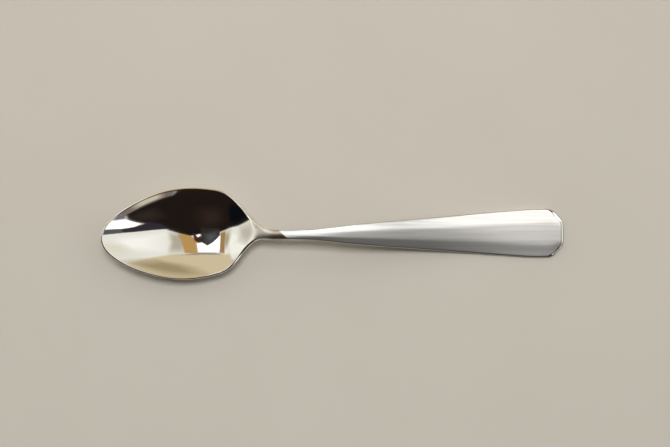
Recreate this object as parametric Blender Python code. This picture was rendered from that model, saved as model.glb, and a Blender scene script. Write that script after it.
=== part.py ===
"""Demitasse spoon: a polished bowl with its neck, brazed to a satin handle.

The spoon is lofted as one body from its plan, side and section lines, and cut in two at the
slanting seam across its neck. It lies on z = 0, on a small flat under the bowl and another under
the end of the handle. +X runs from the bowl's tip to the handle's end, and +Z is up.
"""
import math

import bmesh
import bpy
import numpy as np

# Driving dimensions in millimetres, scaled to metres when the mesh is made
MM = 0.001
LENGTH = 108.0
BOWL_WIDTH = 21.4
BOWL_DEPTH = 4.75
BELLY_DEPTH = 5.3
WIDEST_AT = 19.9
RIM_THICKNESS = 0.65
TIP_HEIGHT = 8.2
HEEL_HEIGHT = 5.0
NECK_WIDTH = 2.3
NECK_EDGE = 0.9
SEAM_AT = 42.35
SEAM_TURN = math.radians(48)
SEAM_GAP = 0.3
ARCH_HEIGHT = 9.0
CROWN = 0.45
HANDLE_WIDTH = 11.68
HANDLE_EDGE = 1.05
END_FLAT = 6.4
CHAMFER_LENGTH = 2.2
CORNER_SOFTNESS = 1.3
END_BULGE = 0.35
END_BEVEL = 0.65
END_BOW_POWER = 6
BOWL_SHIFT = 0.38
BOWL_TURN = math.radians(3.75)
RIM_LEAN = math.radians(49)

# Shares: how much steeper the bowl's wall is than a parabola, where the handle creases, how far the
# facets are hollowed at its end, and the fall of the end's bevel
WALL_STEEPNESS = 0.04
CREASE_AT = 0.4
END_CREASE_AT = 0.52
END_COVE = 0.9
CREASE_SOFTNESS = 0.13
BEVEL_STEP = 0.3
BEVEL_SLOPE = 0.35
STEP_SHARE = 0.25
LAND_POWER = 14

# Stretches of the length, in millimetres from the tip, over which one form passes into another
WALL_STEEPENS = (2.0, 14.0)
WALL_EASES = (23.0, 32.0)
RIM_LEVELS = (27.0, 37.0)
HEEL_SQUARES = (24.0, 38.0)
TURN_ENDS = (31.5, 40.5)
FACETS_BEGIN = (42.0, 52.0)
END_SQUARES = (98.0, 103.0)
CREASE_WIDENS = (80.0, 104.0)
BEVEL_BEGINS = (104.3, 106.0)
END_BOWS = (104.0, 108.0)

# Half width: millimetres from the tip, then a share of half the named width
BOWL_PLAN = ((0.0, 0.0), (1.0, 0.262), (4.7, 0.57), (10.3, 0.827), (WIDEST_AT, 1.0),
             (26.1, 0.94), (29.8, 0.795), (33.3, 0.44))
NECK_PLAN = ((36.0, 1.81), (39.5, 1.03), (46.0, 0.975), (50.0, 1.15))
HANDLE_PLAN = ((56.0, 0.344), (63.0, 0.46), (81.0, 0.711), (99.5, 0.964), (104.0, 1.0), (LENGTH, 1.0))

# Height of the middle of the rounded edge
EDGE_LINE = ((0.0, TIP_HEIGHT), (10.0, 6.8), (20.0, 5.6), (28.0, HEEL_HEIGHT), (31.5, 4.95), (33.5, 5.15),
             (35.5, 6.1), (37.5, 7.2), (40.0, 8.1), (44.0, 8.75), (49.0, ARCH_HEIGHT), (54.0, 8.55),
             (60.0, 7.3), (66.0, 5.7), (72.0, 3.95), (78.0, 2.4), (84.0, 1.3), (90.0, 0.72), (97.0, 0.5),
             (103.0, 0.48), (LENGTH, 0.475))
EDGE_THICKNESS = ((0.0, RIM_THICKNESS), (26.0, RIM_THICKNESS), (34.0, 0.85), (40.0, NECK_EDGE),
                  (50.0, NECK_EDGE), (62.0, 1.0), (80.0, 1.1), (LENGTH, HANDLE_EDGE))

# Depth of the top face below its edges, then the crown above them, as shares
BOWL_HOLLOW = ((0.57, 0.0), (5.0, 0.47), (10.0, 0.78), (16.0, 0.97), (21.0, 1.0), (25.0, 0.9), (29.0, 0.6),
               (31.5, 0.31), (33.3, 0.11), (34.8, 0.01))
HANDLE_CROWN = ((36.5, -0.28), (38.5, -0.48), (42.0, -0.52), (46.0, -0.52), (52.0, -0.55), (62.0, -0.68),
                (75.0, -0.9), (90.0, -0.85), (LENGTH, -0.7))

# Depth of the underside below its edges, as shares
BELLY = ((0.08, 0.0), (5.0, 0.49), (10.0, 0.78), (16.0, 0.96), (22.0, 1.0), (26.0, 0.9),
         (30.0, 0.63), (33.5, 0.3), (36.5, 0.12), (39.0, 0.08), (43.0, 0.08), (50.0, 0.047),
         (60.0, 0.018), (80.0, 0.008), (LENGTH, 0.0))

# Steps of the mesh
TIP_LENGTH = 6.0
TIP_STEPS = 9
BODY_STEPS = ((TIP_LENGTH, 28.0, 16), (28.0, 44.0, 22), (44.0, 103.0, 26), (103.0, LENGTH - END_BEVEL, 12))
END_STEPS = 8
COLUMNS = 14
EDGE_STEPS = 8
MERGE_DISTANCE = 0.01
OUTLINE_STEP = 0.001
TINY = 0.001
EDGE_SHARE = 0.02

BOWL_COLOUR = (0.80, 0.78, 0.74, 1.0)
BOWL_ROUGHNESS = 0.08
HANDLE_COLOUR = (0.72, 0.71, 0.68, 1.0)
HANDLE_ROUGHNESS = 0.35


def scaled(size, points):
    return tuple((place, size * share) for place, share in points)


def smooth_curve(points):
    """The natural cubic curve through (place, value) points."""
    place, value = np.array(points).T
    step = np.diff(place)
    count = len(place)
    system = np.eye(count)
    right = np.zeros(count)
    for i in range(1, count - 1):
        system[i, i - 1:i + 2] = step[i - 1], 2 * (step[i - 1] + step[i]), step[i]
        before, after = np.diff(value[i - 1:i + 2]) / step[i - 1:i + 1]
        right[i] = 6 * (after - before)
    bend = np.linalg.solve(system, right)

    def at(where):
        where = np.clip(where, place[0], place[-1])
        i = np.clip(np.searchsorted(place, where) - 1, 0, count - 2)
        b = (where - place[i]) / step[i]
        a = 1 - b
        cubic = (a**3 - a) * bend[i] + (b**3 - b) * bend[i + 1]
        return a * value[i] + b * value[i + 1] + cubic * step[i]**2 / 6

    return at


edge_height = smooth_curve(EDGE_LINE)
edge_thickness = smooth_curve(EDGE_THICKNESS)
hollow = smooth_curve(scaled(BOWL_DEPTH, BOWL_HOLLOW) + scaled(CROWN, HANDLE_CROWN))
belly = smooth_curve(scaled(BELLY_DEPTH, BELLY))
plan = (scaled(BOWL_WIDTH / 2, BOWL_PLAN) + scaled(NECK_WIDTH / 2, NECK_PLAN)
        + scaled(HANDLE_WIDTH / 2, HANDLE_PLAN))
# Smooth over the root of the distance, so that the outline turns round the tip
width_over_root = smooth_curve([(math.sqrt(place), half) for place, half in plan])


def fade(where, stretch):
    """A smooth step from 0 to 1 along a stretch of the length."""
    start, end = stretch
    t = np.clip((where - start) / (end - start), 0, 1)
    return t * t * (3 - 2 * t)


def full_half_width(place):
    return width_over_root(np.sqrt(place))


def half_width(place):
    """Half width of the outline, with the corners of the handle's end cut off."""
    full = full_half_width(place)
    slope = (HANDLE_WIDTH - END_FLAT) / 2 / CHAMFER_LENGTH
    chamfer = END_FLAT / 2 + (LENGTH - place) * slope
    softness = CORNER_SOFTNESS * fade(place, END_SQUARES)
    twice = full + chamfer - np.sqrt((full - chamfer)**2 + softness**2)
    return np.maximum(twice / 2, 0)


def stations():
    """Places along the spoon, closer together at the tip and at the end."""
    tip = TIP_LENGTH * np.linspace(0, 1, TIP_STEPS, endpoint=False)**2
    body = [np.linspace(*stretch, endpoint=False) for stretch in BODY_STEPS]
    end = LENGTH - END_BEVEL * np.linspace(1, 0, END_STEPS + 1)
    return np.concatenate([tip, *body, end])


def inset_direction(place):
    """X and Y parts of the way out through the edge: square to the outline, sideways at the end."""
    root = np.sqrt(place)
    low = np.maximum(root - OUTLINE_STEP, 0)**2
    high = np.minimum((root + OUTLINE_STEP)**2, LENGTH)
    along = high - low
    across = half_width(high) - half_width(low)
    size = np.hypot(along, across)
    square_x, square_y = -across / size, along / size
    end = fade(place, END_SQUARES)
    sideways = size / np.maximum(along, OUTLINE_STEP**2)
    return square_x * (1 - end), square_y + (sideways - square_y) * end


def facets(place, share):
    """Fall of the handle's three facets: none on the middle panel, 1 at the edge."""
    end = fade(place, CREASE_WIDENS)
    crease = CREASE_AT + (END_CREASE_AT - CREASE_AT) * end

    def fall(u):
        return u + np.sqrt(u**2 + CREASE_SOFTNESS**2) - END_COVE * end * np.maximum(u, 0)**2

    level = fall(-crease)
    return (fall(share - crease) - level) / (fall(1 - crease) - level)


def section(place, share):
    """Shape of the top face: 0 on the middle line, 1 at the edge."""
    steep = WALL_STEEPNESS * fade(place, WALL_STEEPENS) * (1 - fade(place, WALL_EASES))
    dished = (1 - steep) * share**2 + steep * share**4
    return dished + (facets(place, share) - dished) * fade(place, FACETS_BEGIN)


def rim_lean(place, level):
    """Lean of the edge: the rim's own along the bowl, and the one that meets the face past it."""
    return RIM_LEAN + (level - RIM_LEAN) * fade(place, RIM_LEVELS)


def bevel_height(out):
    """Height of the end's bevel over the way out: a fine step, a gentle slope, then the blunt end."""
    step = BEVEL_STEP * np.minimum(out / STEP_SHARE, 1)
    return 1 - step - BEVEL_SLOPE * out - (1 - BEVEL_STEP - BEVEL_SLOPE) * out**LAND_POWER


def spoon_rings():
    """Closed rings of points round the spoon, from the bowl's tip to the handle's end."""
    place = stations()[:, None]
    half = half_width(place)
    share = (half + TINY) / (full_half_width(place) + TINY)
    lift = hollow(place) * (section(place, share) - 1)
    out_x, out_y = inset_direction(place)
    radius = (edge_thickness(place) + lift) / 2
    middle = edge_height(place) + lift / 2

    # Rounded edge, from the top face over the outside to the underside, without a crease at either
    flank = np.maximum(half - radius / 2, radius / 2)
    near = share * (1 - EDGE_SHARE)
    top_fall = hollow(place) * (section(place, share) - section(place, near)) / EDGE_SHARE
    top_lean = rim_lean(place, np.arctan(top_fall / flank))
    under_lean = rim_lean(place, np.arctan(2 * belly(place) / flank))
    turned = np.linspace(0, 1, EDGE_STEPS + 1)
    angle = math.pi / 2 + top_lean - (math.pi + top_lean - under_lean) * turned
    out = 1 - np.abs(1 - 2 * turned)
    bevelled = fade(place, BEVEL_BEGINS)
    round_inset, bevel_inset = radius * (np.cos(angle) - 1), END_BEVEL * (out - 1)
    inset = round_inset + (bevel_inset - round_inset) * bevelled
    rise = np.sin(angle) + (np.sign(1 - 2 * turned) * bevel_height(out) - np.sin(angle)) * bevelled
    edge_x = place + out_x * inset
    edge_y = half + out_y * inset
    edge_z = middle + radius * rise

    # Top face and underside, across from the left edge to the right
    across = np.linspace(-1, 1, COLUMNS + 1)
    top_x, under_x = edge_x[:, :1] + 0 * across, edge_x[:, -1:] + 0 * across
    top_y, under_y = edge_y[:, :1] * across, edge_y[:, -1:] * across
    dip = section(place, share) - section(place, share * np.abs(across))
    top_z = edge_z[:, :1] - hollow(top_x) * dip
    under_z = edge_z[:, -1:] - belly(under_x) * (1 - across**2)

    # The same bevel closes the thickness at the handle's end
    past = np.clip(1 - (LENGTH - place) / END_BEVEL, 0, 1)
    closing = bevel_height(past)
    core = (top_z + under_z) / 2
    top_z = core + (top_z - core) * closing
    under_z = core + (under_z - core) * closing
    edge_z = np.clip(edge_z, middle - radius * closing, middle + radius * closing)

    top = np.stack([top_x, top_y, top_z], axis=2)
    under = np.stack([under_x, under_y, under_z], axis=2)
    right = np.stack([edge_x, edge_y, edge_z], axis=2)[:, 1:-1]
    left = right * (1, -1, 1)
    return np.concatenate([top, right, under[:, ::-1], left[:, ::-1]], axis=1)


def settled(points):
    """The end bowed, the bowl turned on its neck, and the origin put under the middle, in metres."""
    x, y, z = points.T
    wide = np.minimum(np.abs(y) / half_width(LENGTH), 1)
    bow = END_BULGE * wide**END_BOW_POWER * fade(x, END_BOWS)
    hold = 1 - fade(x, TURN_ENDS)
    turn = BOWL_TURN * (1 - fade(x, HEEL_SQUARES))
    shift = (BOWL_SHIFT + math.tan(BOWL_TURN) * (x - WIDEST_AT)) * hold
    settled_x = x - bow - np.sin(turn) * y - LENGTH / 2
    settled_y = shift + np.cos(turn) * y - BOWL_SHIFT
    return MM * np.stack([settled_x, settled_y, z], axis=1)


def spoon_body():
    """The whole spoon as one closed mesh."""
    rings = spoon_rings()
    rows, around = rings.shape[:2]
    body = bmesh.new()
    verts = [body.verts.new(point) for point in settled(rings.reshape(-1, 3))]
    for first in range(0, (rows - 1) * around, around):
        for k in range(around):
            a, b = first + k, first + (k + 1) % around
            body.faces.new((verts[a], verts[b], verts[b + around], verts[a + around]))
    bmesh.ops.remove_doubles(body, verts=body.verts[:], dist=MERGE_DISTANCE * MM)
    return body


def cut(body, point, normal):
    """Cut off what lies on the normal's side of a plane, and close the cut with a flat face."""
    geometry = body.verts[:] + body.edges[:] + body.faces[:]
    bmesh.ops.bisect_plane(body, geom=geometry, plane_co=point, plane_no=normal, clear_outer=True)
    bmesh.ops.holes_fill(body, edges=[edge for edge in body.edges if edge.is_boundary])
    bmesh.ops.recalc_face_normals(body, faces=body.faces[:])


def metal(name, colour, roughness):
    material = bpy.data.materials.new(name)
    material.use_nodes = True
    shader = material.node_tree.nodes["Principled BSDF"]
    shader.inputs["Base Color"].default_value = colour
    shader.inputs["Metallic"].default_value = 1.0
    shader.inputs["Roughness"].default_value = roughness
    return material


def spoon_piece(name, side, material):
    """One solid of the spoon: side -1 is the bowl's side of the seam, and 1 the handle's."""
    body = spoon_body()
    along, across = math.cos(SEAM_TURN), math.sin(SEAM_TURN)
    back = side * SEAM_GAP / 2
    seam = (SEAM_AT - LENGTH / 2 + back * along, back * across - BOWL_SHIFT, 0)
    cut(body, [MM * value for value in seam], (-side * along, -side * across, 0))
    cut(body, (0, 0, 0), (0, 0, -1))
    mesh = bpy.data.meshes.new(name)
    body.to_mesh(mesh)
    body.free()
    mesh.shade_smooth()
    mesh.materials.append(material)
    piece = bpy.data.objects.new(name, mesh)
    bpy.context.scene.collection.objects.link(piece)


for leftover in list(bpy.data.objects):
    bpy.data.objects.remove(leftover)
spoon_piece("bowl", -1, metal("polished_steel", BOWL_COLOUR, BOWL_ROUGHNESS))
spoon_piece("handle", 1, metal("satin_steel", HANDLE_COLOUR, HANDLE_ROUGHNESS))
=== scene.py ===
import math

import bmesh
import bpy
import numpy as np
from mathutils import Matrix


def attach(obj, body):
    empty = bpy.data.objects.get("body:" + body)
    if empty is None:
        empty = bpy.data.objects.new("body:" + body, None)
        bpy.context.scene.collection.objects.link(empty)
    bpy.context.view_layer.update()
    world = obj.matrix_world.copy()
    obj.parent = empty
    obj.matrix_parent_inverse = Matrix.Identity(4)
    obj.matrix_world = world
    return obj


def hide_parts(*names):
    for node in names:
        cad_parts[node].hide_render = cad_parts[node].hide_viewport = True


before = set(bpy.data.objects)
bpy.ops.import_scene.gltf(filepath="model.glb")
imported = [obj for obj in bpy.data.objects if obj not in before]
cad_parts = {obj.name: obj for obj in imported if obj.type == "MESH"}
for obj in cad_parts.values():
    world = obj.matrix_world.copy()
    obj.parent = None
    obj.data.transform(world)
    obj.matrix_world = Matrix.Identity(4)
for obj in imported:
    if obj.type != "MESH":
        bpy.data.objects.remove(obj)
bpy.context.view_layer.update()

# Driving dimensions in millimetres, the same as those of the solids except for the closed seam
MM = 0.001
LENGTH = 108.0
BOWL_WIDTH = 21.4
BOWL_DEPTH = 4.75
BELLY_DEPTH = 5.3
WIDEST_AT = 19.9
RIM_THICKNESS = 0.65
TIP_HEIGHT = 8.2
HEEL_HEIGHT = 5.0
NECK_WIDTH = 2.3
NECK_EDGE = 0.9
SEAM_AT = 42.35
SEAM_TURN = math.radians(48)
SEAM_GAP = 0.02
ARCH_HEIGHT = 9.0
CROWN = 0.45
HANDLE_WIDTH = 11.68
HANDLE_EDGE = 1.05
END_FLAT = 6.4
CHAMFER_LENGTH = 2.2
CORNER_SOFTNESS = 1.3
END_BULGE = 0.35
END_BEVEL = 0.65
END_BOW_POWER = 6
BOWL_SHIFT = 0.38
BOWL_TURN = math.radians(3.75)
RIM_LEAN = math.radians(49)

# Shares: how much steeper the bowl's wall is than a parabola, where the handle creases, how far the
# facets are hollowed at its end, and the fall of the end's bevel
WALL_STEEPNESS = 0.04
CREASE_AT = 0.4
END_CREASE_AT = 0.52
END_COVE = 0.9
CREASE_SOFTNESS = 0.13
BEVEL_STEP = 0.3
BEVEL_SLOPE = 0.35
STEP_SHARE = 0.25
LAND_POWER = 14

# Stretches of the length, in millimetres from the tip, over which one form passes into another
WALL_STEEPENS = (2.0, 14.0)
WALL_EASES = (23.0, 32.0)
RIM_LEVELS = (27.0, 37.0)
HEEL_SQUARES = (24.0, 38.0)
TURN_ENDS = (31.5, 40.5)
FACETS_BEGIN = (42.0, 52.0)
END_SQUARES = (98.0, 103.0)
CREASE_WIDENS = (80.0, 104.0)
BEVEL_BEGINS = (104.3, 106.0)
END_BOWS = (104.0, 108.0)

# Half width: millimetres from the tip, then a share of half the named width
BOWL_PLAN = ((0.0, 0.0), (1.0, 0.262), (4.7, 0.57), (10.3, 0.827), (WIDEST_AT, 1.0),
             (26.1, 0.94), (29.8, 0.795), (33.3, 0.44))
NECK_PLAN = ((36.0, 1.81), (39.5, 1.03), (46.0, 0.975), (50.0, 1.15))
HANDLE_PLAN = ((56.0, 0.344), (63.0, 0.46), (81.0, 0.711), (99.5, 0.964), (104.0, 1.0),
               (LENGTH, 1.0))

# Height of the middle of the rounded edge
EDGE_LINE = ((0.0, TIP_HEIGHT), (10.0, 6.8), (20.0, 5.6), (28.0, HEEL_HEIGHT), (31.5, 4.95),
             (33.5, 5.15), (35.5, 6.1), (37.5, 7.2), (40.0, 8.1), (44.0, 8.75),
             (49.0, ARCH_HEIGHT), (54.0, 8.55), (60.0, 7.3), (66.0, 5.7), (72.0, 3.95),
             (78.0, 2.4), (84.0, 1.3), (90.0, 0.72), (97.0, 0.5), (103.0, 0.48), (LENGTH, 0.475))
EDGE_THICKNESS = ((0.0, RIM_THICKNESS), (26.0, RIM_THICKNESS), (34.0, 0.85), (40.0, NECK_EDGE),
                  (50.0, NECK_EDGE), (62.0, 1.0), (80.0, 1.1), (LENGTH, HANDLE_EDGE))

# Depth of the top face below its edges, then the crown above them, as shares
BOWL_HOLLOW = ((0.57, 0.0), (5.0, 0.47), (10.0, 0.78), (16.0, 0.97), (21.0, 1.0), (25.0, 0.9),
               (29.0, 0.6), (31.5, 0.31), (33.3, 0.11), (34.8, 0.01))
HANDLE_CROWN = ((36.5, -0.28), (38.5, -0.48), (42.0, -0.52), (46.0, -0.52), (52.0, -0.55),
                (62.0, -0.68), (75.0, -0.9), (90.0, -0.85), (LENGTH, -0.7))

# Depth of the underside below its edges, as shares
BELLY = ((0.08, 0.0), (5.0, 0.49), (10.0, 0.78), (16.0, 0.96), (22.0, 1.0), (26.0, 0.9),
         (30.0, 0.63), (33.5, 0.3), (36.5, 0.12), (39.0, 0.08), (43.0, 0.08), (50.0, 0.047),
         (60.0, 0.018), (80.0, 0.008), (LENGTH, 0.0))

# Steps of the fine mesh, and the small amounts it is worked out with
TIP_LENGTH = 6.0
TIP_STEPS = 28
BODY_STEPS = ((TIP_LENGTH, 28.0, 60), (28.0, 42.0, 50), (42.0, 103.0, 110),
              (103.0, LENGTH - END_BEVEL, 30))
END_STEPS = 16
COLUMNS = 56
EDGE_STEPS = 16
MERGE_DISTANCE = 0.001
OUTLINE_STEP = 0.001
TINY = 0.001
EDGE_SHARE = 0.02
SHARP_ANGLE = math.radians(40)

# Polished steel: the neck's buffed stretch and its painted brown reflection are places in metres
STEEL = (0.94, 0.925, 0.885, 1.0)
STEEL_SHADE = (0.91, 0.895, 0.85, 1.0)
POLISH_ROUGHNESS = 0.05
CLOUD_SCALE = 160.0
CLOUD_DETAIL = 3.0
CLOUD_ROUGHNESS = 0.03
HAIR_TURN = (0.0, 0.0, 0.5)
HAIR_SCALE = (150.0, 5000.0, 150.0)
HAIR_DETAIL = 2.0
HAIR_SHOWS = (0.62, 0.75)
HAIR_ROUGHNESS = 0.05
NECK_BUFF = (-0.0198, -0.0164)
# Painted reflection: the neck's colour darkens to a warm brown, standing in for the dark and brown
# things it mirrors
NECK_PAINTED_REFLECTION_STRETCH = (-0.0160, -0.0136)
NECK_PAINTED_REFLECTION = (0.58, 0.53, 0.45, 1.0)
NECK_ROUGHNESS = 0.36

# Satin steel: how far a normal stands upright tells the faces from the rubbed edges, and the
# place where the end begins is in metres
SATIN = (0.335, 0.331, 0.319, 1.0)
SATIN_STREAK = (0.265, 0.262, 0.251, 1.0)
SATIN_ROUGHNESS = 0.31
EDGE_ROUGHNESS = 0.12
FACE_UPRIGHT = (0.3, 0.5)
END_FACE_UPRIGHT = (0.955, 0.98)
END_STEP_UPRIGHT = (0.91, 0.84)
RUBBED_END = (0.049, 0.0505)
# Painted shade: a dark colour laid into the end's step where it meets the face
STEP_PAINTED_SHADE = (0.16, 0.14, 0.13, 1.0)
GRAIN_SCALE = (40.0, 2400.0, 400.0)
GRAIN_DETAIL = 3.0
GRAIN_SHOWS = (0.3, 0.7)
GRAIN_ROUGHNESS = 0.05
GRAIN_STRENGTH = 0.1
GRAIN_HEIGHT = 0.00002

# The camera looks straight down
CAMERA_AT = (0.000254, 0.002186, 0.436)
CAMERA_TURN = math.radians(-0.28)
CAMERA_LENS = 99.37
CAMERA_NEAR = 0.01

# Studio, in metres
FLOOR = (0.5, 0.47, 0.42, 1.0)
FLOOR_SHADE = (0.47, 0.44, 0.39, 1.0)
FLOOR_ROUGHNESS = 0.9
FLOOR_CLOUD_SCALE = 30.0
FLOOR_REACH = 4.0
FLOOR_DROP = 0.0001
SKY = (1.0, 0.995, 0.93, 1.0)
SKY_STRENGTH = 0.84

# Each softbox: what it lights, place, tilt and turn in degrees, size and radiance
SOFTBOXES = {
    "softbox_north": ("handle", (0.064, 0.443, 0.8), (0, 33), (0.96, 0.8), 3.4),
    "softbox_west": ("handle", (-0.8, 0.25, 0.8), (0, 0), (1.2, 1.4), 2.9),
    "softbox_southwest": ("handle", (-0.85, -0.7, 0.8), (0, 0), (1.1, 0.5), 2.6),
    "softbox_back": ("handle", (-0.23, 1.3, 0.46), (-69, 0), (1.99, 0.92), 4.0),
    "softbox_fill": ("handle", (0.05, -0.4, 0.8), (0, 0), (0.8, 0.5), 0.25),
    "softbox_end": ("handle", (0.06, -0.17, 0.8), (0, 0), (0.24, 0.2), 2.0),
    "softbox_table": ("floor", (-0.05, 0.19, 0.9), (0, 0), (0.34, 0.2), 28.0),
}

# Each card: colour of its light, distance as a share of the common one, softness of its edge, and
# the directions in which its corners lie from the spoon
CARD_DISTANCE = 1.5
CARD_STEPS = 12
CARDS = {
    "dark_flag": (
        (0.014, 0.009, 0.007), 0.98, 0.08,
        ((-0.82, -0.57, 0.03), (-6.5, -2.4, 1), (-6.5, -1.0, 1), (-4.1, -0.62, 1),
         (-2.98, -0.42, 1), (-2.25, -0.28, 1), (-1.85, -0.2, 1), (-1.3, -0.08, 1), (-0.86, 0.01, 1),
         (-0.44, 0.05, 1), (-0.05, 0.09, 1), (0.08, 0.13, 1), (0.23, 0.0, 1), (0.36, -0.15, 1),
         (0.51, -0.41, 1), (0.72, -0.64, 1), (1.03, -0.98, 1), (1.75, -1.76, 1), (2.2, -2.35, 1),
         (3.9, -4.8, 1), (3.0, -5.6, 1), (2.4, -6.0, 1), (1.6, -7.0, 1), (0.14, -0.99, 0.03),
         (0, -1, 0.01))),
    "main_card": (
        (1.8, 1.8, 1.8), 1.0, 0.05,
        ((0.02, -0.05, 1), (-0.13, 0.9, 1), (-0.45, 0.98, 1), (-0.95, 1.05, 1), (-0.92, 0.51, 1),
         (-0.9, -0.03, 1))),
    "small_flag": (
        (0.03, 0.024, 0.021), 0.9, 0.1,
        ((-0.11, 0.0, 1), (-0.12, 0.38, 1), (-0.34, 0.62, 1), (-0.56, 0.46, 1), (-0.93, 0.12, 1),
         (-0.9, -0.2, 1), (-0.1, -0.2, 1))),
    "dark_strip": (
        (0.06, 0.02, 0.02), 0.93, 0.2,
        ((0.05, -0.04, 1), (0.0, 0.02, 1), (-0.07, 0.17, 1), (-0.13, 0.07, 1), (-0.18, 0.45, 1),
         (-0.08, 0.47, 1), (0.0, 0.3, 1))),
    "amber_strip_1": (
        (0.50, 0.30, 0.10), 0.95, 0.06,
        ((0.24, -0.01, 1), (0.18, 0.34, 1), (0.12, 0.99, 1), (-0.15, 1.04, 1), (-0.04, 0.32, 1),
         (0.05, 0.1, 1))),
    "amber_strip_2": (
        (0.36, 0.22, 0.09), 0.95, 0.15,
        ((-0.9, -0.03, 1), (-0.92, 0.51, 1), (-1.0, 1.18, 1), (-1.6, 1.4, 1), (-1.33, 0.55, 1),
         (-1.32, -0.09, 1))),
    "tan_card": (
        (0.65, 0.55, 0.37), 1.0, 0.1,
        ((0.5, 0.86, 0.02), (1.51, 2.78, 1), (0.67, 1.39, 1), (0.35, 1.03, 1), (-0.14, 1.02, 1),
         (-0.99, 1.17, 1), (-2.98, 1.75, 1), (-6.4, 4.2, 1), (-0.83, 0.56, 0.02), (0, 1, 0.01))),
    "side_card": (
        (1.6, 1.6, 1.6), 0.97, 0.08,
        ((3.6, -1.8, 1), (5, -4.6, 1), (3.7, -3.4, 1), (2.1, -2.25, 1), (1.22, -1.23, 1),
         (0.86, -0.82, 1), (0.9, -0.67, 1), (1.57, -0.83, 1), (2.95, -1.5, 1))),
    "lavender_card": (
        (0.17, 0.16, 0.195), 0.96, 0.3,
        ((0.64, -0.76, 0.03), (4.5, -6.1, 1), (2.11, -2.32, 1), (4.9, -4.6, 1),
         (0.72, -0.7, 0.06))),
    "grey_card": (
        (0.1, 0.095, 0.11), 0.99, 0.15,
        ((3.6, -1.75, 1), (1.57, -0.83, 1), (1.25, -0.75, 1), (1.35, -0.34, 1), (2.4, -0.45, 1),
         (3.6, -0.75, 1))),
    "dark_band": (
        (0.03, 0.026, 0.035), 0.965, 0.15,
        ((1.6, -0.8, 1), (1.0, -0.7, 1), (0.7, -0.78, 1), (0.48, -0.55, 1), (0.32, -0.22, 1),
         (0.72, -0.26, 1), (1.4, -0.35, 1))),
    "streak_card": (
        (0.19, 0.155, 0.14), 0.995, 0.15,
        ((0.64, -0.76, 0.01), (3.0, -3.5, 1), (1.1, -5.2, 1), (0.1, -1, 0.01))),
    "pale_streak": (
        (0.60, 0.55, 0.45), 0.99, 0.6,
        ((0.54, -0.84, 0.01), (3.4, -5.3, 1), (1.9, -6.4, 1), (0.24, -0.97, 0.01))),
    "sand_card": (
        (0.77, 0.74, 0.63), 1.02, 0.85,
        ((0.97, -0.1, 0.02), (2.3, 0.1, 1), (1.1, 0.6, 1), (0.8, 1.5, 1), (0.3, 0.95, 0.02))),
    "cream_card": (
        (1.0, 1.0, 0.96), 1.03, 0.7,
        ((0.3, -0.15, 1), (0.3, 0.95, 1), (1.0, 1.3, 1), (1.9, 0.7, 1), (1.7, -0.2, 1))),
    "cream_shade": (
        (0.46, 0.43, 0.34), 1.01, 0.6,
        ((0.38, -0.2, 1), (0.34, 0.35, 1), (0.42, 1.2, 1), (0.1, 1.2, 1), (0.1, 0.35, 1),
         (0.1, -0.2, 1))),
    "strip_shade": (
        (0.44, 0.37, 0.25), 1.01, 0.7,
        ((-1.15, -0.2, 1), (-1.15, 0.5, 1), (-1.25, 1.0, 1), (-1.9, 1.15, 1), (-2.1, 0.5, 1),
         (-2.0, -0.3, 1))),
    "small_glow": (
        (0.085, 0.095, 0.1), 0.88, 0.85,
        ((-0.14, 0.02, 1), (-0.18, 0.5, 1), (-0.36, 0.62, 1), (-0.6, 0.42, 1), (-0.9, 0.1, 1),
         (-0.8, -0.15, 1), (-0.45, -0.1, 1))),
    "tan_shade": (
        (0.36, 0.29, 0.165), 0.98, 0.7,
        ((0.62, 0.78, 0.01), (1.5, 2.4, 1), (0.75, 1.5, 1), (0.1, 1.9, 1), (-0.5, 2.9, 1),
         (-0.35, 0.93, 0.01))),
    "tan_line": (
        (0.26, 0.23, 0.2), 0.97, 0.5,
        ((0.4, 1.12, 1), (0.1, 0.97, 1), (-0.13, 0.95, 1), (-0.98, 1.1, 1), (-1.6, 1.4, 1),
         (-1.0, 1.3, 1), (-0.14, 1.12, 1))),
    "heel_shade": (
        (0.53, 0.5, 0.42), 1.02, 0.85,
        ((-2.3, -0.5, 1), (-2.6, 0.9, 1), (-4.0, 1.5, 1), (-7.0, 1.2, 1), (-0.99, 0.1, 0.03),
         (-0.99, -0.25, 0.03), (-5.0, -1.2, 1))),
    "heel_glow": (
        (0.96, 0.96, 0.88), 1.05, 0.4,
        ((-1.8, -0.1, 1), (-2.5, 0.1, 1), (-3.0, 0.7, 1), (-3.6, 1.2, 1), (-5.0, 2.2, 1),
         (-0.85, 0.5, 0.03), (-4.5, 3.1, 1), (-3.2, 2.1, 1), (-2.2, 1.1, 1), (-1.8, 0.5, 1))),
    "umber_card": (
        (0.03, 0.018, 0.014), 0.965, 0.8,
        ((0.0, -0.1, 1), (0.1, -0.8, 1), (0.0, -1.8, 1), (-0.9, -1.9, 1), (-1.6, -1.3, 1),
         (-1.3, -0.4, 1), (-0.6, -0.1, 1))),
    "brown_card": (
        (0.03, 0.021, 0.018), 0.97, 0.8,
        ((2.3, -2.6, 1), (0.6, -0.6, 1), (0.4, -0.8, 1), (1.2, -3.0, 1), (2.6, -4.0, 1))),
    "black_card": (
        (0.003, 0.004, 0.006), 0.97, 0.5,
        ((-0.75, -0.65, 0.03), (-2.2, -2.2, 1), (-1.5, -0.4, 1), (-2.6, -0.42, 1), (-5.5, -1.3, 1),
         (-0.9, -0.45, 0.03))),
}


def scaled(size, points):
    """Points given as shares of a size, as lengths."""
    return tuple((place, size * share) for place, share in points)


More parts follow.
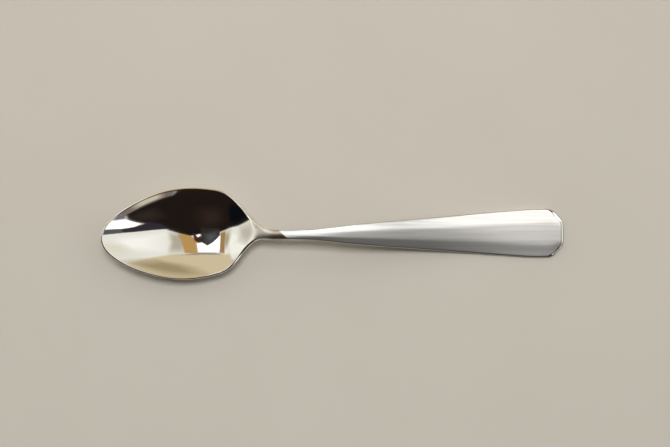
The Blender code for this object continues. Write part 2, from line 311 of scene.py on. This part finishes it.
def smooth_curve(points):
    """The natural cubic curve through (place, value) points."""
    place, value = np.array(points).T
    step = np.diff(place)
    count = len(place)
    system = np.eye(count)
    right = np.zeros(count)
    for i in range(1, count - 1):
        system[i, i - 1:i + 2] = step[i - 1], 2 * (step[i - 1] + step[i]), step[i]
        before, after = np.diff(value[i - 1:i + 2]) / step[i - 1:i + 1]
        right[i] = 6 * (after - before)
    bend = np.linalg.solve(system, right)

    def at(where):
        where = np.clip(where, place[0], place[-1])
        i = np.clip(np.searchsorted(place, where) - 1, 0, count - 2)
        b = (where - place[i]) / step[i]
        a = 1 - b
        cubic = (a**3 - a) * bend[i] + (b**3 - b) * bend[i + 1]
        return a * value[i] + b * value[i + 1] + cubic * step[i]**2 / 6

    return at


edge_height = smooth_curve(EDGE_LINE)
edge_thickness = smooth_curve(EDGE_THICKNESS)
hollow = smooth_curve(scaled(BOWL_DEPTH, BOWL_HOLLOW) + scaled(CROWN, HANDLE_CROWN))
belly = smooth_curve(scaled(BELLY_DEPTH, BELLY))
plan = (scaled(BOWL_WIDTH / 2, BOWL_PLAN) + scaled(NECK_WIDTH / 2, NECK_PLAN)
        + scaled(HANDLE_WIDTH / 2, HANDLE_PLAN))
# Smooth over the root of the distance, so that the outline turns round the tip
width_over_root = smooth_curve([(math.sqrt(place), half) for place, half in plan])


def fade(where, stretch):
    """A smooth step from 0 to 1 along a stretch of the length."""
    start, end = stretch
    t = np.clip((where - start) / (end - start), 0, 1)
    return t * t * (3 - 2 * t)


def full_half_width(place):
    """Half width of the outline before the corners are cut off."""
    return width_over_root(np.sqrt(place))


def half_width(place):
    """Half width of the outline, with the corners of the handle's end cut off."""
    full = full_half_width(place)
    slope = (HANDLE_WIDTH - END_FLAT) / 2 / CHAMFER_LENGTH
    chamfer = END_FLAT / 2 + (LENGTH - place) * slope
    softness = CORNER_SOFTNESS * fade(place, END_SQUARES)
    twice = full + chamfer - np.sqrt((full - chamfer)**2 + softness**2)
    return np.maximum(twice / 2, 0)


def stations():
    """Places along the spoon, closer together at the tip and at the end."""
    tip = TIP_LENGTH * np.linspace(0, 1, TIP_STEPS, endpoint=False)**2
    body = [np.linspace(*stretch, endpoint=False) for stretch in BODY_STEPS]
    end = LENGTH - END_BEVEL * np.linspace(1, 0, END_STEPS + 1)
    return np.concatenate([tip, *body, end])


def inset_direction(place):
    """X and Y parts of the way out through the edge: square to the outline, sideways at the end."""
    root = np.sqrt(place)
    low = np.maximum(root - OUTLINE_STEP, 0)**2
    high = np.minimum((root + OUTLINE_STEP)**2, LENGTH)
    along = high - low
    across = half_width(high) - half_width(low)
    size = np.hypot(along, across)
    square_x, square_y = -across / size, along / size
    end = fade(place, END_SQUARES)
    sideways = size / np.maximum(along, OUTLINE_STEP**2)
    return square_x * (1 - end), square_y + (sideways - square_y) * end


def facets(place, share):
    """Fall of the handle's three facets: none on the middle panel, 1 at the edge."""
    end = fade(place, CREASE_WIDENS)
    crease = CREASE_AT + (END_CREASE_AT - CREASE_AT) * end

    def fall(u):
        return u + np.sqrt(u**2 + CREASE_SOFTNESS**2) - END_COVE * end * np.maximum(u, 0)**2

    level = fall(-crease)
    return (fall(share - crease) - level) / (fall(1 - crease) - level)


def section(place, share):
    """Shape of the top face: 0 on the middle line, 1 at the edge."""
    steep = WALL_STEEPNESS * fade(place, WALL_STEEPENS) * (1 - fade(place, WALL_EASES))
    dished = (1 - steep) * share**2 + steep * share**4
    return dished + (facets(place, share) - dished) * fade(place, FACETS_BEGIN)


def rim_lean(place, level):
    """Lean of the edge: the rim's own along the bowl, and the one that meets the face past it."""
    return RIM_LEAN + (level - RIM_LEAN) * fade(place, RIM_LEVELS)


def bevel_height(out):
    """Height of the end's bevel over the way out: a fine step, a gentle slope, then the blunt end."""
    step = BEVEL_STEP * np.minimum(out / STEP_SHARE, 1)
    return 1 - step - BEVEL_SLOPE * out - (1 - BEVEL_STEP - BEVEL_SLOPE) * out**LAND_POWER


def spoon_rings():
    """Closed rings of points round the spoon, from the bowl's tip to the handle's end."""
    place = stations()[:, None]
    half = half_width(place)
    share = (half + TINY) / (full_half_width(place) + TINY)
    lift = hollow(place) * (section(place, share) - 1)
    out_x, out_y = inset_direction(place)
    radius = (edge_thickness(place) + lift) / 2
    middle = edge_height(place) + lift / 2

    # Rounded edge, from the top face over the outside to the underside, without a crease at either
    flank = np.maximum(half - radius / 2, radius / 2)
    near = share * (1 - EDGE_SHARE)
    top_fall = hollow(place) * (section(place, share) - section(place, near)) / EDGE_SHARE
    top_lean = rim_lean(place, np.arctan(top_fall / flank))
    under_lean = rim_lean(place, np.arctan(2 * belly(place) / flank))
    turned = np.linspace(0, 1, EDGE_STEPS + 1)
    angle = math.pi / 2 + top_lean - (math.pi + top_lean - under_lean) * turned
    out = 1 - np.abs(1 - 2 * turned)
    bevelled = fade(place, BEVEL_BEGINS)
    round_inset, bevel_inset = radius * (np.cos(angle) - 1), END_BEVEL * (out - 1)
    inset = round_inset + (bevel_inset - round_inset) * bevelled
    rise = np.sin(angle) + (np.sign(1 - 2 * turned) * bevel_height(out) - np.sin(angle)) * bevelled
    edge_x = place + out_x * inset
    edge_y = half + out_y * inset
    edge_z = middle + radius * rise

    # Top face and underside, across from the left edge to the right
    across = np.linspace(-1, 1, COLUMNS + 1)
    top_x, under_x = edge_x[:, :1] + 0 * across, edge_x[:, -1:] + 0 * across
    top_y, under_y = edge_y[:, :1] * across, edge_y[:, -1:] * across
    dip = section(place, share) - section(place, share * np.abs(across))
    top_z = edge_z[:, :1] - hollow(top_x) * dip
    under_z = edge_z[:, -1:] - belly(under_x) * (1 - across**2)

    # The same bevel closes the thickness at the handle's end
    past = np.clip(1 - (LENGTH - place) / END_BEVEL, 0, 1)
    closing = bevel_height(past)
    core = (top_z + under_z) / 2
    top_z = core + (top_z - core) * closing
    under_z = core + (under_z - core) * closing
    edge_z = np.clip(edge_z, middle - radius * closing, middle + radius * closing)

    top = np.stack([top_x, top_y, top_z], axis=2)
    under = np.stack([under_x, under_y, under_z], axis=2)
    right = np.stack([edge_x, edge_y, edge_z], axis=2)[:, 1:-1]
    left = right * (1, -1, 1)
    return np.concatenate([top, right, under[:, ::-1], left[:, ::-1]], axis=1)


def settled(points):
    """The end bowed, the bowl turned on its neck, and the origin put under the middle, in metres."""
    x, y, z = points.T
    wide = np.minimum(np.abs(y) / half_width(LENGTH), 1)
    bow = END_BULGE * wide**END_BOW_POWER * fade(x, END_BOWS)
    hold = 1 - fade(x, TURN_ENDS)
    turn = BOWL_TURN * (1 - fade(x, HEEL_SQUARES))
    shift = (BOWL_SHIFT + math.tan(BOWL_TURN) * (x - WIDEST_AT)) * hold
    settled_x = x - bow - np.sin(turn) * y - LENGTH / 2
    settled_y = shift + np.cos(turn) * y - BOWL_SHIFT
    return MM * np.stack([settled_x, settled_y, z], axis=1)


def ring_faces(rings, around):
    """Corners of the faces between neighbouring rings of points."""
    for first in range(0, (rings - 1) * around, around):
        for k in range(around):
            a, b = first + k, first + (k + 1) % around
            yield a, b, b + around, a + around


def spoon_body():
    """The whole spoon as one closed mesh."""
    rings = spoon_rings()
    count, around = rings.shape[:2]
    body = bmesh.new()
    verts = [body.verts.new(point) for point in settled(rings.reshape(-1, 3))]
    for corners in ring_faces(count, around):
        body.faces.new([verts[k] for k in corners])
    bmesh.ops.remove_doubles(body, verts=body.verts[:], dist=MERGE_DISTANCE * MM)
    return body


def cut(body, point, normal):
    """Cut off what lies on the normal's side of a plane, and close the cut with a flat face."""
    geometry = body.verts[:] + body.edges[:] + body.faces[:]
    bmesh.ops.bisect_plane(body, geom=geometry, plane_co=point, plane_no=normal, clear_outer=True)
    bmesh.ops.holes_fill(body, edges=[edge for edge in body.edges if edge.is_boundary])
    bmesh.ops.recalc_face_normals(body, faces=body.faces[:])


def linked(name, mesh, material):
    """A mesh with its material, put into the scene."""
    mesh.materials.append(material)
    made = bpy.data.objects.new(name, mesh)
    bpy.context.scene.collection.objects.link(made)
    return made


def spoon_piece(name, side, material):
    """One fine solid of the spoon: side -1 is the bowl's side of the seam, and 1 the handle's."""
    body = spoon_body()
    along, across = math.cos(SEAM_TURN), math.sin(SEAM_TURN)
    back = side * SEAM_GAP / 2
    seam = (SEAM_AT - LENGTH / 2 + back * along, back * across - BOWL_SHIFT, 0)
    cut(body, [MM * value for value in seam], (-side * along, -side * across, 0))
    cut(body, (0, 0, 0), (0, 0, -1))
    mesh = bpy.data.meshes.new(name)
    body.to_mesh(mesh)
    body.free()
    mesh.shade_smooth()
    mesh.set_sharp_from_angle(angle=SHARP_ANGLE)
    return linked(name, mesh, material)


class Shade:
    """A socket of a material's nodes. Arithmetic on it adds Math nodes."""

    def __init__(self, tree, socket=None):
        self.tree = tree
        self.socket = socket

    def feed(self, node, **inputs):
        """Set or link a node's inputs: Base_Color is its Base Color, and _6 its input number 6."""
        for name, value in inputs.items():
            place = int(name[1:]) if name[1:].isdigit() else name.replace("_", " ")
            socket = node.inputs[place]
            if isinstance(value, Shade):
                self.tree.links.new(value.socket, socket)
            else:
                socket.default_value = value

    def node(self, kind, settings=(), output=0, **inputs):
        made = self.tree.nodes.new(kind)
        for name, value in dict(settings).items():
            setattr(made, name, value)
        self.feed(made, **inputs)
        return Shade(self.tree, made.outputs[output])

    def math(self, operation, *values):
        inputs = {f"_{k}": value for k, value in enumerate(values)}
        return self.node("ShaderNodeMath", {"operation": operation}, **inputs)

    def mix(self, share, first, second):
        return self.node("ShaderNodeMix", {"data_type": "RGBA"}, 2, _0=share, _6=first, _7=second)

    def ramp(self, stretch, course="SMOOTHSTEP"):
        """From 0 to 1 as this value passes through a stretch."""
        low, high = stretch
        return self.node("ShaderNodeMapRange", {"interpolation_type": course},
                         Value=self, From_Min=low, From_Max=high)

    def __abs__(self):
        return self.math("ABSOLUTE", self)

    def __add__(self, other):
        return self.math("ADD", self, other)

    def __radd__(self, other):
        return self.math("ADD", other, self)

    def __sub__(self, other):
        return self.math("SUBTRACT", self, other)

    def __rsub__(self, other):
        return self.math("SUBTRACT", other, self)

    def __mul__(self, other):
        return self.math("MULTIPLY", self, other)

    def __rmul__(self, other):
        return self.math("MULTIPLY", other, self)


def new_material(name):
    """A material, its shader, and a Shade to add nodes with."""
    material = bpy.data.materials.new(name)
    material.use_nodes = True
    tree = material.node_tree
    return material, tree.nodes["Principled BSDF"], Shade(tree)


def polished_steel():
    """Mirror polish with faint clouding and hair scratches; the neck buffed rough, with a painted
    brown reflection.
    """
    material, shader, shade = new_material("polished_steel")
    where = shade.node("ShaderNodeTexCoord", output="Object")
    x = shade.node("ShaderNodeSeparateXYZ", output="X", Vector=where)
    cloud = shade.node("ShaderNodeTexNoise", Vector=where, Scale=CLOUD_SCALE, Detail=CLOUD_DETAIL)
    drawn = shade.node("ShaderNodeMapping", Vector=where, Rotation=HAIR_TURN, Scale=HAIR_SCALE)
    hair = shade.node("ShaderNodeTexNoise", Vector=drawn, Scale=1.0, Detail=HAIR_DETAIL)
    scratch = hair.ramp(HAIR_SHOWS, "LINEAR")
    buff = x.ramp(NECK_BUFF)
    # Painted reflection: the neck's colour is mixed towards a darker brown
    painted_reflection = x.ramp(NECK_PAINTED_REFLECTION_STRETCH)
    colour = shade.mix(painted_reflection, shade.mix(cloud, STEEL, STEEL_SHADE), NECK_PAINTED_REFLECTION)
    rough = (POLISH_ROUGHNESS + CLOUD_ROUGHNESS * cloud + HAIR_ROUGHNESS * scratch
             + buff * (NECK_ROUGHNESS - POLISH_ROUGHNESS))
    shade.feed(shader, Metallic=1.0, Base_Color=colour, Roughness=rough)
    return material


def satin_steel():
    """Lengthwise brushing, rubbed smooth on the edges, with a dark line of painted shade in the step
    of the end.
    """
    material, shader, shade = new_material("satin_steel")
    where = shade.node("ShaderNodeTexCoord", output="Object")
    normal = shade.node("ShaderNodeTexCoord", output="Normal")
    upright = abs(shade.node("ShaderNodeSeparateXYZ", output="Z", Vector=normal))
    x = shade.node("ShaderNodeSeparateXYZ", output="X", Vector=where)
    end = x.ramp(RUBBED_END, "LINEAR")
    body_face = upright.ramp(FACE_UPRIGHT)
    end_face = upright.ramp(END_FACE_UPRIGHT)
    face = body_face + end * (end_face - body_face)
    # Painted shade: a dark line in the step between the end's face and its bevel
    painted_step_shade = end * upright.ramp(END_STEP_UPRIGHT)
    drawn = shade.node("ShaderNodeMapping", Vector=where, Scale=GRAIN_SCALE)
    grain = shade.node("ShaderNodeTexNoise", Vector=drawn, Scale=1.0, Detail=GRAIN_DETAIL)
    streak = grain.ramp(GRAIN_SHOWS, "LINEAR")
    metal = shade.mix(face, STEEL_SHADE, shade.mix(streak, SATIN, SATIN_STREAK))
    colour = shade.mix(painted_step_shade, metal, STEP_PAINTED_SHADE)
    rough = (EDGE_ROUGHNESS + face * (SATIN_ROUGHNESS - EDGE_ROUGHNESS)
             + GRAIN_ROUGHNESS * (streak - 0.5))
    bump = shade.node("ShaderNodeBump", Strength=GRAIN_STRENGTH, Distance=GRAIN_HEIGHT, Height=streak)
    shade.feed(shader, Metallic=1.0, Base_Color=colour, Roughness=rough, Normal=bump)
    return material


def pale_floor():
    """Plain matt floor with faint clouding."""
    material, shader, shade = new_material("pale_floor")
    where = shade.node("ShaderNodeTexCoord", output="Object")
    cloud = shade.node("ShaderNodeTexNoise", Vector=where, Scale=FLOOR_CLOUD_SCALE,
                       Detail=CLOUD_DETAIL)
    colour = shade.mix(cloud, FLOOR, FLOOR_SHADE)
    shade.feed(shader, Roughness=FLOOR_ROUGHNESS, Base_Color=colour)
    return material


def glow(name, colour):
    """Even light that fades out at the card's edge."""
    material, shader, shade = new_material(name)
    cover = shade.node("ShaderNodeAttribute", {"attribute_name": "cover"}, "Fac")
    shade.feed(shader, Alpha=cover, Base_Color=(0.0, 0.0, 0.0, 1.0), Specular_IOR_Level=0.0,
               Emission_Color=(*colour, 1.0), Emission_Strength=1.0)
    return material


def studio_card(name, colour, distance, softness, corners):
    """A card round the spoon, seen in the metal and not by the camera."""
    points = [np.array(corner) / np.linalg.norm(corner) for corner in corners]
    middle = np.mean(points, axis=0)
    sides = zip(points, points[1:] + points[:1])
    rim = np.array([a + (b - a) * k / CARD_STEPS for a, b in sides for k in range(CARD_STEPS)])
    around = len(rim)
    shares = np.append(np.linspace(1 / CARD_STEPS, 1 - softness, CARD_STEPS), 1.0)
    layers = np.concatenate([[middle], *(middle + (rim - middle) * share for share in shares)])
    layers *= distance * CARD_DISTANCE / np.linalg.norm(layers, axis=1)[:, None]
    faces = [(0, 1 + k, 1 + (k + 1) % around) for k in range(around)]
    faces += [[1 + k for k in reversed(quad)] for quad in ring_faces(len(shares), around)]
    mesh = bpy.data.meshes.new(name)
    mesh.from_pydata(layers.tolist(), [], faces)
    cover = mesh.attributes.new("cover", "FLOAT", "POINT")
    cover.data.foreach_set("value", [1.0] * (len(layers) - around) + [0.0] * around)
    card = linked(name, mesh, glow(name, colour))
    card.visible_camera = False


def softbox(name, piece, place, angles, size, radiance):
    """A large soft lamp over one piece, which lights nothing else."""
    data = bpy.data.lights.new(name, "AREA")
    data.shape = "RECTANGLE"
    data.size, data.size_y = size
    data.energy = radiance * math.pi * math.prod(size)
    lamp = bpy.data.objects.new(name, data)
    lamp.location = place
    tilt, turn = angles
    lamp.rotation_euler = (math.radians(tilt), 0.0, math.radians(turn))
    bpy.context.scene.collection.objects.link(lamp)
    lamp.light_linking.receiver_collection = bpy.data.collections.new(name)
    lamp.light_linking.receiver_collection.objects.link(piece)


def studio(handle):
    """Floor, lamps, cards and sky."""
    floor_mesh = bpy.data.meshes.new("floor")
    sides = (-FLOOR_REACH, FLOOR_REACH)
    corners = [(x, y, -FLOOR_DROP) for x in sides for y in sides]
    floor_mesh.from_pydata(corners, [], [(0, 2, 3, 1)])
    floor = linked("floor", floor_mesh, pale_floor())
    pieces = {"handle": handle, "floor": floor}
    for name, (lit, *setting) in SOFTBOXES.items():
        softbox(name, pieces[lit], *setting)
    for name, card in CARDS.items():
        studio_card(name, *card)
    world = bpy.data.worlds.new("soft_sky")
    world.use_nodes = True
    background = world.node_tree.nodes["Background"]
    background.inputs["Color"].default_value = SKY
    background.inputs["Strength"].default_value = SKY_STRENGTH
    bpy.context.scene.world = world


def camera():
    """The camera over the spoon."""
    data = bpy.data.cameras.new("camera")
    data.lens = CAMERA_LENS
    data.clip_start = CAMERA_NEAR
    made = bpy.data.objects.new("camera", data)
    made.location = CAMERA_AT
    made.rotation_euler = (0.0, 0.0, CAMERA_TURN)
    bpy.context.scene.collection.objects.link(made)
    bpy.context.scene.camera = made


camera()
bowl = spoon_piece("fine_bowl", -1, polished_steel())
handle = spoon_piece("fine_handle", 1, satin_steel())
for piece, node, finish in ((bowl, "bowl", "polished_steel"), (handle, "handle", "satin_steel")):
    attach(piece, "root")
    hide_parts(node)
studio(handle)
bpy.context.scene.view_settings.view_transform = "Standard"
